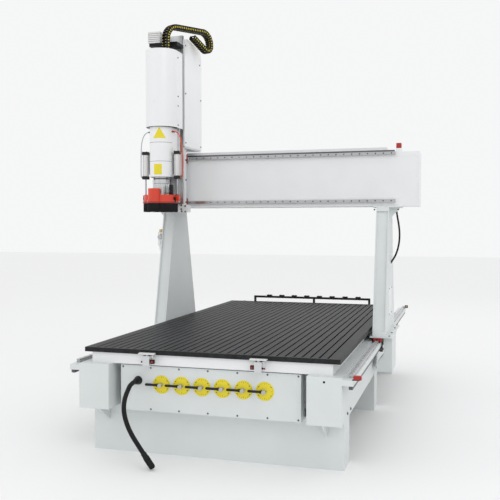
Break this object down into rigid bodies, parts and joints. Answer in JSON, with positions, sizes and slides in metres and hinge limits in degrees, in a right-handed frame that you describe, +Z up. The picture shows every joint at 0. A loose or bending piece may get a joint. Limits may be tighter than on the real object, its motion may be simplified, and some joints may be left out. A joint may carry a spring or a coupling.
{
  "type": "gantry cnc router",
  "caption": "Flat-bed gantry router with a slotted vacuum table, moving beam, spindle head with dust hood, and a tool rack at the far end.",
  "frame": {"origin": "on the floor, at the middle of the base (middle plinth's underside)", "axes": "+X to the operator's right, +Y along the table away from the operator, +Z up"},
  "size_m": [2.165, 3.9494, 3.0248],
  "materials": {
    "white_paint": "fine-texture powder coat",
    "black_phenolic": "phenolic board, satin",
    "rail_steel": "ground steel",
    "rack_steel": "oiled dark steel",
    "block_steel": "blackened steel",
    "black_plastic": "moulded nylon",
    "black_enamel": "satin enamel",
    "pale_enamel": "satin enamel",
    "red_rubber": "glossy rubber",
    "dial_face": "yellow printed plate",
    "lever_paint": "dipped black",
    "pipe_plastic": "smooth pipe",
    "cord_rubber": "rubber sheath",
    "machined_aluminium": "machined",
    "stop_paint": "plated",
    "regulator_body": "moulded body, brass fittings",
    "spindle_steel": "turned body",
    "hood_red": "glossy orange-red",
    "brush_bristle": "bristles"
  },
  "bodies": {
    "base": {"plinths": "white_paint", "side_beams": "white_paint", "table_frame": "white_paint", "table_deck": "black_phenolic", "table_planks": "black_phenolic", "y_rails": "rail_steel", "y_racks": "rack_steel", "y_bumpers": "red_rubber", "valve_panel": "white_paint", "valve_dials": "dial_face", "vacuum_valves": "pipe_plastic", "cord_gland": "black_plastic", "power_cord": "cord_rubber", "cord_plug": "cord_rubber", "stop_cylinders": "machined_aluminium", "tool_rack": "black_enamel"},
    "lever_1": {"vacuum_lever_1": "lever_paint"},
    "lever_2": {"vacuum_lever_2": "lever_paint"},
    "lever_3": {"vacuum_lever_3": "lever_paint"},
    "lever_4": {"vacuum_lever_4": "lever_paint"},
    "lever_5": {"vacuum_lever_5": "lever_paint"},
    "lever_6": {"vacuum_lever_6": "lever_paint"},
    "stop_left": {"pop_up_stop_left": "stop_paint"},
    "stop_right": {"pop_up_stop_right": "stop_paint"},
    "gantry": {"gantry_legs": "white_paint", "gantry_beam": "white_paint", "beam_end_cap": "white_paint", "x_rails": "rail_steel", "x_rack": "rack_steel", "x_bumpers": "red_rubber", "cable_tray": "white_paint", "y_bearing_blocks": "block_steel", "drive_covers": "white_paint", "y_drive_motors": "black_enamel", "leg_cable": "black_plastic", "air_regulator": "regulator_body"},
    "left_pinion": {"y_pinion_left": "rail_steel"},
    "right_pinion": {"y_pinion_right": "rail_steel"},
    "carriage": {"x_carriage": "white_paint", "tower_plate": "machined_aluminium", "x_bearing_blocks": "block_steel", "x_drive_motor": "black_enamel", "tower_cover": "white_paint", "z_rails": "rail_steel", "z_belt_housing": "black_plastic", "z_motor": "pale_enamel", "z_energy_chain": "black_plastic"},
    "beam_pinion": {"x_pinion": "rail_steel"},
    "screw": {"z_screw": "rail_steel"},
    "head": {"z_slide_plate": "machined_aluminium", "z_bearing_blocks": "block_steel", "screw_nut": "block_steel", "upper_cover": "white_paint", "lower_cover": "white_paint", "spindle_body": "spindle_steel", "hood_cylinders": "machined_aluminium"},
    "rotor": {"spindle_rotor": "rail_steel"},
    "hood": {"dust_hood": "hood_red", "brush_skirt": "brush_bristle", "hood_rods": "rail_steel"}
  },
  "joints": [
    {"name": "lever_1_turn", "type": "hinge", "parent": "base", "child": "lever_1", "pos_m": [-0.297, -1.675, 0.46], "axis": [0, 1, 0], "range_deg": [0, 90]},
    {"name": "lever_2_turn", "type": "hinge", "parent": "base", "child": "lever_2", "pos_m": [-0.167, -1.675, 0.46], "axis": [0, 1, 0], "range_deg": [0, 90]},
    {"name": "lever_3_turn", "type": "hinge", "parent": "base", "child": "lever_3", "pos_m": [-0.037, -1.675, 0.46], "axis": [0, 1, 0], "range_deg": [0, 90]},
    {"name": "lever_4_turn", "type": "hinge", "parent": "base", "child": "lever_4", "pos_m": [0.093, -1.675, 0.46], "axis": [0, 1, 0], "range_deg": [0, 90]},
    {"name": "lever_5_turn", "type": "hinge", "parent": "base", "child": "lever_5", "pos_m": [0.223, -1.675, 0.46], "axis": [0, 1, 0], "range_deg": [0, 90]},
    {"name": "lever_6_turn", "type": "hinge", "parent": "base", "child": "lever_6", "pos_m": [0.353, -1.675, 0.46], "axis": [0, 1, 0], "range_deg": [0, 90]},
    {"name": "stop_left_rise", "type": "slide", "parent": "base", "child": "stop_left", "axis": [0, 0, 1], "range_m": [0, 0.04]},
    {"name": "stop_right_rise", "type": "slide", "parent": "base", "child": "stop_right", "axis": [0, 0, 1], "range_m": [0, 0.04]},
    {"name": "y_travel", "type": "slide", "parent": "base", "child": "gantry", "axis": [0, 1, 0], "range_m": [-1.25, 1.82]},
    {"name": "left_pinion_turn", "type": "hinge", "parent": "gantry", "child": "left_pinion", "pos_m": [-0.863, -0.155, 0.4906], "axis": [1, 0, 0], "range_deg": [-3600, 5230]},
    {"name": "right_pinion_turn", "type": "hinge", "parent": "gantry", "child": "right_pinion", "pos_m": [0.863, -0.155, 0.4906], "axis": [1, 0, 0], "range_deg": [-3600, 5230]},
    {"name": "x_travel", "type": "slide", "parent": "gantry", "child": "carriage", "axis": [1, 0, 0], "range_m": [0, 1.61]},
    {"name": "beam_pinion_turn", "type": "hinge", "parent": "carriage", "child": "beam_pinion", "pos_m": [-0.81, -0.0106, 2], "axis": [0, 0, 1], "range_deg": [-4630, 10]},
    {"name": "z_travel", "type": "slide", "parent": "carriage", "child": "head", "axis": [0, 0, 1], "range_m": [-0.82, 0]},
    {"name": "screw_turn", "type": "hinge", "parent": "carriage", "child": "screw", "pos_m": [-0.81, -0.303, 2], "axis": [0, 0, 1], "range_deg": [-10, 14780]},
    {"name": "hood_rise", "type": "slide", "parent": "head", "child": "hood", "axis": [0, 0, 1], "range_m": [0, 0.09]},
    {"name": "spindle_spin", "type": "hinge", "parent": "head", "child": "rotor", "pos_m": [-0.81, -0.45, 1.6], "axis": [0, 0, 1], "continuous": true}
  ],
  "couplings": [
    {"joint": "left_pinion_turn", "follows": "y_travel", "rad_per_m": 50},
    {"joint": "right_pinion_turn", "follows": "y_travel", "rad_per_m": 50},
    {"joint": "beam_pinion_turn", "follows": "x_travel", "rad_per_m": -50},
    {"joint": "screw_turn", "follows": "z_travel", "rad_per_m": -314.16}
  ]
}
